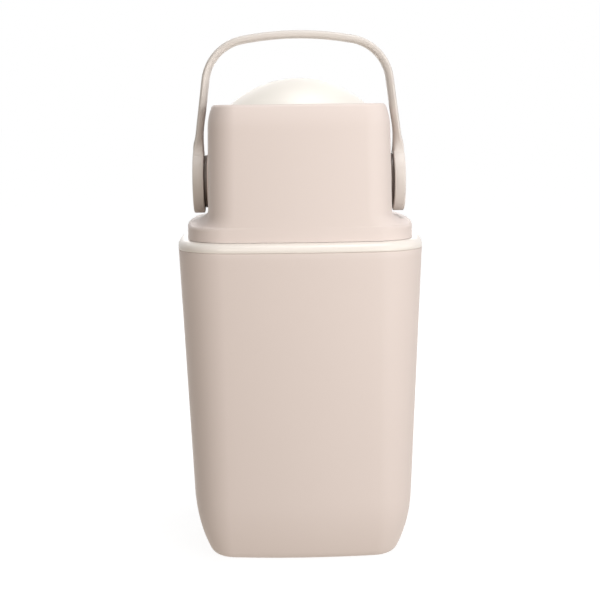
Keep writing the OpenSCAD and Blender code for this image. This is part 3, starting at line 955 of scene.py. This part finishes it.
    def bush(self, side: int, word: str) -> None:
        """One bush: a barrel through the wall and a flange outside it.

        Args:
            side: -1 for the left, 1 for the right.
            word: Left or right.
        """
        out = self.side + self.pad_h
        face = out + self.bush_flange
        bore, rim = self.bush_bore_r, self.bush_flange_r
        profile = [
            (bore, self.bush_inner_end),
            (self.bush_r, self.bush_inner_end),
            (self.bush_r, out),
            (rim - 0.6, out),
            (rim, out + 0.6),
            (rim, face - 0.8),
            (rim - 0.8, face),
            (bore + 0.55, face),
            (bore, face - 0.5),
        ]
        shape = Shape()
        shape.turn(profile, Axis.X, self.pivot, side)
        # Dark brown bush colour: painted shade for the gap between head and hub.
        shape.piece(
            f"bush_{word}_flange", BUSH_ACETAL_PAINTED_SHADE, Body.HEAD, f"bush_{word}"
        )

    def build(self) -> None:
        """Builds and dresses every piece of the head."""
        self.shell()
        for side, word in SIDES:
            self.bush(side, word)
        keep_nodes(
            head_floor=INNER_POLYPROPYLENE,
            head_floor_screws=PLATED_STEEL,
            top_seal=SEAL_RUBBER,
            lower_seal=SEAL_RUBBER,
            rim_gasket=SEAL_RUBBER,
        )


# ---- drum ----


@dataclass
class DrumAssembly:
    """The ball in two halves, its sleeve, mouth rings, axles and screws."""

    head: HeadAssembly
    wall: float = 3.0
    half_w: float = 91.0
    bore_r: float = 72.0
    sleeve_wall: float = 2.0
    lip: float = 4.0
    ring_l: float = 5.0
    seam: float = 0.15

    @property
    def mouth_r(self) -> float:
        """Outer radius of the mouth rings."""
        return self.bore_r + self.sleeve_wall + 0.2

    def strip(self, radius: float, flat: float, y: float, up: int) -> Ring:
        """One strip round half of the ball at a place along the bore.

        Args:
            radius: Radius of the sphere.
            flat: Distance of its flat sides from the middle.
            y: Place along the bore.
            up: 1 for the upper half, -1 for the lower.

        Returns:
            Points from the right end of the seam over to its left end.
        """
        round_r = math.sqrt(max(radius**2 - y**2, 0.0))
        cut = math.acos(min(1.0, flat / round_r))
        edge_z = round_r * math.sin(cut)
        edge_x = round_r * math.cos(cut)
        points: list[Point2] = [(edge_x, edge_z * i / 8) for i in range(8)]
        for a in stations(cut, math.pi - cut, 72):
            points.append((round_r * math.cos(a), round_r * math.sin(a)))
        points.extend((-edge_x, edge_z * i / 8) for i in range(7, -1, -1))
        return [
            (x, y, self.head.pivot_z + up * max(z, self.seam)) for x, z in points
        ]

    def half(self, up: int) -> None:
        """One half of the ball, with its wall and the seam's edge.

        Args:
            up: 1 for the upper half, -1 for the lower.
        """
        outer_r = self.head.ball_r
        inner_r, inner_flat = outer_r - self.wall, self.half_w - self.wall
        mouth = math.sqrt(outer_r**2 - self.mouth_r**2)
        inner_mouth = math.sqrt(inner_r**2 - self.mouth_r**2)
        turn = math.degrees(math.asin(mouth / outer_r))
        inner_turn = math.degrees(math.asin(inner_mouth / inner_r))
        outer, inner = (
            [
                self.strip(radius, flat, radius * math.sin(math.radians(a)), up)
                for a in stations(first, -first, 88)
            ]
            for radius, flat, first in (
                (outer_r, self.half_w, -turn),
                (inner_r, inner_flat, inner_turn),
            )
        )
        shape = Shape()
        shape.skin([*outer, *inner], loop=True, open_rings=True)
        across, rows = len(outer[0]), len(outer)
        for i in range(rows - 1):
            corners = (i, i + 1, 2 * rows - 2 - i, 2 * rows - 1 - i)
            for j in (0, across - 1):
                shape.faces.append(tuple(row * across + j for row in corners))
        side = "upper" if up > 0 else "lower"
        shape.piece(
            f"ball_{side}", WHITE_ABS, Body.DRUM, f"drum_{side}"
        )

    def mouth_ring(self, side: int, word: str) -> None:
        """The ring that finishes one mouth of the bore, rounded off with the ball.

        Args:
            side: -1 for the front, 1 for the rear.
            word: Front or rear.
        """
        ball_r, inside = self.head.ball_r, self.bore_r - self.lip
        stop = math.sqrt(ball_r**2 - self.mouth_r**2) - self.ring_l
        crown = [
            (r, math.sqrt(ball_r**2 - r**2))
            for r in stations(self.mouth_r - 0.15, inside + 1.2, 6)
        ]
        profile = [
            (self.mouth_r - 0.15, stop),
            *crown,
            (inside + 0.35, crown[-1][1] - 0.2),
            (inside, crown[-1][1] - 1.0),
            (inside, stop + 0.5),
            (inside + 0.5, stop),
        ]
        shape = Shape()
        shape.turn(profile, Axis.Y, self.head.pivot, side, steps=160)
        name, node = f"mouth_trim_{word}", f"mouth_ring_{word}"
        shape.piece(name, WHITE_ABS, Body.DRUM, node)

    def build(self) -> None:
        """Builds and dresses every piece of the drum."""
        self.half(1)
        self.half(-1)
        self.mouth_ring(-1, "front")
        self.mouth_ring(1, "rear")
        keep_nodes(
            sleeve=INNER_POLYPROPYLENE,
            drum_screws=PLATED_STEEL,
            # The axles take the bushes' painted shade for the gap beside the hubs.
            axle_left=BUSH_ACETAL_PAINTED_SHADE,
            axle_right=BUSH_ACETAL_PAINTED_SHADE,
        )


# ---- handle ----


@dataclass
class HandleAssembly:
    """The carrying handle: a bow of soft rectangular section on two round hubs.

    The three spans are heights above a hub's rim. Between them the section turns squarer
    and widens to the hub's outer face and to its inner face.
    """

    head: HeadAssembly
    top: float = 610.5
    thickness: float = 9.35
    grip_depth: float = 30.0
    arm_depth: float = 31.0
    arm_lean: float = 7.4
    top_radius: float = 363.0
    corner_radius: float = 58.3
    inner_bevel: float = 0.24
    hub_r: float = 37.2
    hub_t: float = 12.7
    hub_edge: float = 1.5
    axle_hole_r: float = 14.3
    cap_r: float = 26.0
    cap_t: float = 2.0
    cap_gap: float = 0.3
    softness: float = 0.64
    foot_in: float = 2.2
    fillet_r: float = 12.0
    points: int = 56
    arm_share: float = 0.75
    corner_share: float = 0.2
    top_share: float = 0.05
    narrowing: float = 1.4
    squarer: float = 0.42
    bevel_start: float = 0.35
    square_span: Point2 = (14.0, -4.0)
    outer_span: Point2 = (16.0, 2.0)
    inner_span: Point2 = (46.0, 0.0)

    @property
    def hub_in(self) -> float:
        """Distance of a hub's inner face from the middle."""
        head = self.head
        return head.side + head.pad_h + head.bush_flange + head.tub.gap

    @property
    def hub_out(self) -> float:
        """Distance of a hub's outer face from the middle."""
        return self.hub_in + self.hub_t

    def centre_line(self) -> list[tuple[Vector, float, float]]:
        """Stations from the right hub over the grip to the left one.

        Returns:
            For each station its point as X and Z, the direction outwards in degrees and
            the share of the way up, 1 in the middle of the grip.
        """
        pivot = self.head.pivot_z
        lean = math.radians(self.arm_lean)
        foot = Vector((self.hub_out - self.foot_in, pivot + self.hub_r / 3))
        upward = Vector((-math.sin(lean), math.cos(lean)))
        inward = Vector((-math.cos(lean), -math.sin(lean)))
        top_r = self.top_radius - self.thickness / 2
        corner_r = self.corner_radius - self.thickness / 2
        top_centre = Vector((0.0, self.top - self.top_radius))
        reach = foot + corner_r * inward - top_centre
        along = reach.dot(upward)
        arm = -along + math.sqrt(along**2 - reach.dot(reach) + (top_r - corner_r) ** 2)
        corner = top_centre + reach + arm * upward
        top_angle = math.atan2(corner.x, corner.y - top_centre.y)
        corner_end = math.pi / 2 - top_angle
        half = [
            (foot + arm * u * upward, self.arm_lean, self.arm_share * u)
            for u in stations(0, 1, 30)[:-1]
        ]
        for u in stations(0, 1, 26)[:-1]:
            a = lean + (corner_end - lean) * u
            spot = corner + corner_r * Vector((math.cos(a), math.sin(a)))
            share = self.arm_share + self.corner_share * u
            half.append((spot, math.degrees(a), share))
        for u in stations(0, 1, 22):
            a = corner_end + top_angle * u
            spot = top_centre + top_r * Vector((math.cos(a), math.sin(a)))
            share = self.arm_share + self.corner_share + self.top_share * u
            half.append((spot, math.degrees(a), share))
        other = [
            (Vector((-spot.x, spot.y)), 180 - turn, share)
            for spot, turn, share in reversed(half[:-1])
        ]
        return [*half, *other]

    def section(self, spot: Vector, turn: float, share: float) -> Ring:
        """One cross-section of the bow.

        Its inner edge is drawn back, so that the arms show a bevel towards the head.

        Args:
            spot: Its middle, as X and Z.
            turn: The direction outwards, in degrees.
            share: The share of the way up.

        Returns:
            The ring of the section.
        """
        rise = spot.y - self.head.pivot_z
        widening = (1 - share) ** self.narrowing
        deep = self.grip_depth + (self.arm_depth - self.grip_depth) * widening
        deep += 2 * self.fillet(rise, deep / 2)
        joined = self.ease(rise, self.square_span)
        bend = self.softness - self.squarer * joined
        bevel = self.inner_bevel * (1 - joined) * min(1.0, 3 * (1 - share))
        slant = math.cos(math.radians(self.arm_lean))
        base = self.thickness / 2
        outward = base + self.ease(rise, self.outer_span) * (
            (self.hub_out - 0.25 - abs(spot.x)) / slant - base
        )
        inward = base + self.ease(rise, self.inner_span) * (
            (abs(spot.x) - self.hub_in - 0.05) / slant - base
        )
        aim_x, aim_z = math.cos(math.radians(turn)), math.sin(math.radians(turn))
        ring = []
        for i in range(self.points):
            a = math.tau * (i + 0.5) / self.points
            out = math.copysign(abs(math.cos(a)) ** bend, math.cos(a))
            reach = out * (outward if out > 0 else inward)
            y = deep / 2 * math.copysign(abs(math.sin(a)) ** bend, math.sin(a))
            y *= 1 - bevel * max(0.0, self.bevel_start - out)
            ring.append((spot.x + reach * aim_x, y, spot.y + reach * aim_z))
        return ring

    def ease(self, rise: float, span: Point2) -> float:
        """A smooth share from 0 to 1 on the way down an arm to its hub.

        Args:
            rise: Height above the pivot.
            span: Heights above the hub's rim where the share is 0 and where it is 1.

        Returns:
            The share.
        """
        start, end = span
        u = min(1.0, max(0.0, (self.hub_r + start - rise) / (start - end)))
        return u * u * (3 - 2 * u)

    def fillet(self, rise: float, half: float) -> float:
        """How far the fillet between an arm's edge and its hub stands out.

        Args:
            rise: Height above the pivot.
            half: Half the arm's depth.

        Returns:
            The width that the fillet adds to the edge.
        """
        radius = self.fillet_r
        centre = math.sqrt((self.hub_r + radius) ** 2 - (half + radius) ** 2)
        lowest = centre * self.hub_r / (self.hub_r + radius)
        drop = min(max(centre - rise, 0.0), centre - lowest)
        return radius - math.sqrt(radius**2 - drop**2)

    def hub_profile(self) -> Profile:
        """A hub's section as radius and distance from its inner face."""
        edge, thick, cup_r = self.hub_edge, self.hub_t, self.cap_r + self.cap_gap
        return [
            (self.axle_hole_r, 0.0),
            (self.hub_r - 1.0, 0.0),
            (self.hub_r - 0.3, 0.25),
            (self.hub_r, 0.9),
            *arc((self.hub_r - edge, thick - edge), edge, 0, 90, 8),
            (self.cap_r + 0.8, thick),
            (cup_r, thick - 0.4),
            (cup_r, thick - self.cap_t),
            (self.axle_hole_r, thick - self.cap_t),
        ]

    def build(self) -> None:
        """Builds and dresses the handle, its caps and screws."""
        shape = Shape()
        shape.skin([self.section(*spot) for spot in self.centre_line()], capped=True)
        hub = [(r, self.hub_in + x) for r, x in self.hub_profile()]
        for side in (-1, 1):
            shape.turn(hub, Axis.X, self.head.pivot, side, steps=128)
        shape.piece(
            "handle_bow",
            # The handle's paler, greyer colour is painted sheen.
            HANDLE_POLYPROPYLENE_PAINTED_SHEEN,
            Body.DRUM,
            "handle",
            crease=60.0,
        )
        for side, word in SIDES:
            self.cap(side, word)
        keep_nodes(hub_screws=PLATED_STEEL)

    def cap(self, side: int, word: str) -> None:
        """The round cap over one hub's screw.

        Args:
            side: -1 for the left, 1 for the right.
            word: Left or right.
        """
        inner, outer = self.hub_out - self.cap_t, self.hub_out
        profile = [
            (0.0, inner),
            (self.cap_r, inner),
            (self.cap_r, outer - 0.5),
            (self.cap_r - 0.4, outer - 0.1),
            (self.cap_r - 1.0, outer),
            (self.cap_r - 8.0, outer - 0.3),
            (0.0, outer - 0.6),
        ]
        shape = Shape()
        shape.turn(profile, Axis.X, self.head.pivot, side, loop=False)
        shape.piece(
            f"hub_disc_{word}",
            # The hub discs share the handle's painted sheen colour.
            HANDLE_POLYPROPYLENE_PAINTED_SHEEN,
            Body.DRUM,
            f"hub_cap_{word}",
        )


# ---- piston ----


@dataclass
class PistonAssembly:
    """The weighted piston that slides in the bore."""

    def build(self) -> None:
        """Dresses the piston's frame nodes."""
        keep_nodes(
            piston_cup=INNER_POLYPROPYLENE,
            piston_lid=INNER_POLYPROPYLENE,
            piston_weight=PLATED_STEEL,
            piston_wipers=SEAL_RUBBER,
        )


# ---- studio ----


def heading(azimuth: float, elevation: float) -> Vector:
    """The direction from the bin to a light or the camera.

    Args:
        azimuth: Degrees round from straight in front, positive to the right.
        elevation: Degrees above the horizon.

    Returns:
        A vector of length 1.
    """
    around, above = math.radians(azimuth), math.radians(elevation)
    flat = math.cos(above)
    return Vector((math.sin(around) * flat, -math.cos(around) * flat, math.sin(above)))


def square_light(
    name: str, size: float, power: float, colour: str
) -> bpy.types.Object:
    """Adds a square light.

    Args:
        name: The light's name.
        size: Length of its sides, in metres.
        power: Its power, in watts.
        colour: Its colour as sRGB hex.

    Returns:
        The light's object.
    """
    data = bpy.data.lights.new(name, "AREA")
    data.shape = "SQUARE"
    data.size = size
    data.energy = power
    data.color = linear(colour)[:3]
    return put_in_scene(name, data)


@dataclass(frozen=True)
class SoftBox:
    """A square studio light that looks at the middle of the bin, in metres and watts.

    Attributes:
        name: The light's name.
        azimuth: Degrees round from straight in front, positive to the right.
        elevation: Degrees above the horizon.
        power: Its power.
        colour: Its colour as sRGB hex.
        distance: How far it stands from the middle of the bin.
        size: Length of its sides.
    """

    name: str
    azimuth: float
    elevation: float
    power: float
    colour: str = "#ffffff"
    distance: float = 2.0
    size: float = 1.0

    def build(self) -> None:
        """Adds the light."""
        aim = Vector((0.0, 0.0, 0.3))
        away = heading(self.azimuth, self.elevation)
        lamp = square_light(self.name, self.size, self.power, self.colour)
        lamp.location = aim + away * self.distance
        lamp.rotation_mode = "QUATERNION"
        lamp.rotation_quaternion = (-away).to_track_quat("-Z", "Y")


@dataclass
class Studio:
    """A white floor and room, soft light mostly from the right, and the camera."""

    distance: float = 1.7
    height: float = 0.523
    yaw: float = -1.0
    pitch: float = 7.8
    roll: float = 0.67
    focal_px: float = 1421.0
    frame_px: float = 600.0
    shift_px: float = 0.2
    floor_half: float = 30.0
    floor_grey: float = 0.2
    # Where the floor's glow dims round the bin, and how far: a painted contact shadow.
    shade_start: float = 0.1
    shade_end: float = 0.6
    shade: float = 0.9
    floor_lit: float = 8.0
    floor_glow: float = 0.51
    floor_tint: str = "#fff3e3"

    def camera(self) -> None:
        """Sets the camera where the photograph was taken from."""
        data = bpy.data.cameras.new("camera")
        data.sensor_width = 36.0
        data.lens = self.focal_px / self.frame_px * data.sensor_width
        data.shift_x = -self.shift_px / self.frame_px
        data.dof.use_dof = False
        eye = put_in_scene("camera", data)
        eye.location = self.distance * heading(self.yaw, 0.0)
        eye.location.z = self.height
        ahead = -heading(self.yaw, self.pitch)
        eye.rotation_mode = "QUATERNION"
        tilt = Quaternion((0.0, 0.0, 1.0), math.radians(-self.roll))
        eye.rotation_quaternion = ahead.to_track_quat("-Z", "Y") @ tilt
        bpy.context.scene.camera = eye

    def floor(self) -> None:
        """A large white floor, lit until it is white, which isn't part of the object. Its
        glow is dimmer round the bin's footprint: a painted contact shadow.
        """
        half, grey = self.floor_half, self.floor_grey
        mesh = bpy.data.meshes.new("studio_floor")
        mesh.from_pydata(
            [(-half, -half, 0), (half, -half, 0), (half, half, 0), (-half, half, 0)],
            [],
            [(0, 1, 2, 3)],
        )
        paint = bpy.data.materials.new("studio_floor_white")
        tree = blank_tree(paint)
        matt = add_node(tree, "ShaderNodeBsdfDiffuse", {"Color": (grey, grey, grey, 1.0)})
        place = add_node(tree, "ShaderNodeTexCoord").outputs["Object"]
        away = add_node(
            tree, "ShaderNodeVectorMath", {0: place}, operation="LENGTH"
        ).outputs["Value"]
        # The glow falls to the shade value near the middle: a painted contact shadow
        # under the bin.
        strength = add_node(
            tree,
            "ShaderNodeMapRange",
            {
                "Value": away,
                "From Min": self.shade_start,
                "From Max": self.shade_end,
                "To Min": self.shade,
            },
        )
        lit = add_node(
            tree,
            "ShaderNodeEmission",
            {"Color": linear("#ffffff"), "Strength": strength.outputs["Result"]},
        )
        both = add_node(
            tree,
            "ShaderNodeAddShader",
            {0: matt.outputs["BSDF"], 1: lit.outputs["Emission"]},
        )
        add_node(
            tree, "ShaderNodeOutputMaterial", {"Surface": both.outputs["Shader"]}
        )
        mesh.materials.append(paint)
        ground = put_in_scene("studio_floor", mesh)
        ground.visible_diffuse = False
        ground.visible_glossy = False

    def bounce(self) -> None:
        """The warm light that the floor throws up, half as bright as the floor looks."""
        power = math.pi * self.floor_glow * self.floor_lit**2
        lamp = square_light("floor_bounce", self.floor_lit, power, self.floor_tint)
        lamp.location = (0.0, 0.0, 0.0005)
        lamp.rotation_euler = (math.pi, 0.0, 0.0)
        lamp.visible_camera = False

    def room(self) -> None:
        """Plain white all round: seen behind the bin and as a soft shine on its edges."""
        world = bpy.data.worlds.new("studio_room")
        bpy.context.scene.world = world
        tree = blank_tree(world)
        sky = add_node(
            tree, "ShaderNodeBackground", {"Color": linear("#ffffff"), "Strength": 1.0}
        )
        add_node(tree, "ShaderNodeOutputWorld", {"Surface": sky.outputs["Background"]})
        world.cycles_visibility.diffuse = False
        world.cycles_visibility.glossy = True

    def build(self) -> None:
        """Builds the studio."""
        self.camera()
        self.floor()
        self.room()
        self.bounce()
        bpy.context.scene.view_settings.view_transform = "Standard"
        for box in (
            SoftBox("overhead", 60.0, 82.0, 22.0),
            SoftBox("right_front", 33.0, 4.0, 20.8),
            SoftBox("right_side", 75.0, 18.0, 7.0),
            SoftBox("left_front", -15.0, 30.0, 12.0, "#fff9f2"),
            SoftBox("left_rear", -150.0, 40.0, 2.0),
            SoftBox("rear_fill", 180.0, 12.0, 8.0),
        ):
            box.build()


# ---- assembly ----


def main() -> None:
    """Builds every sub-assembly in order and then the studio."""
    logging.basicConfig(level=logging.INFO, format="%(message)s")
    tub = TubAssembly()
    head = HeadAssembly(tub)
    for assembly in (
        tub,
        head,
        DrumAssembly(head),
        HandleAssembly(head),
        PistonAssembly(),
        Studio(),
    ):
        assembly.build()


if __name__ == "__main__":
    main()
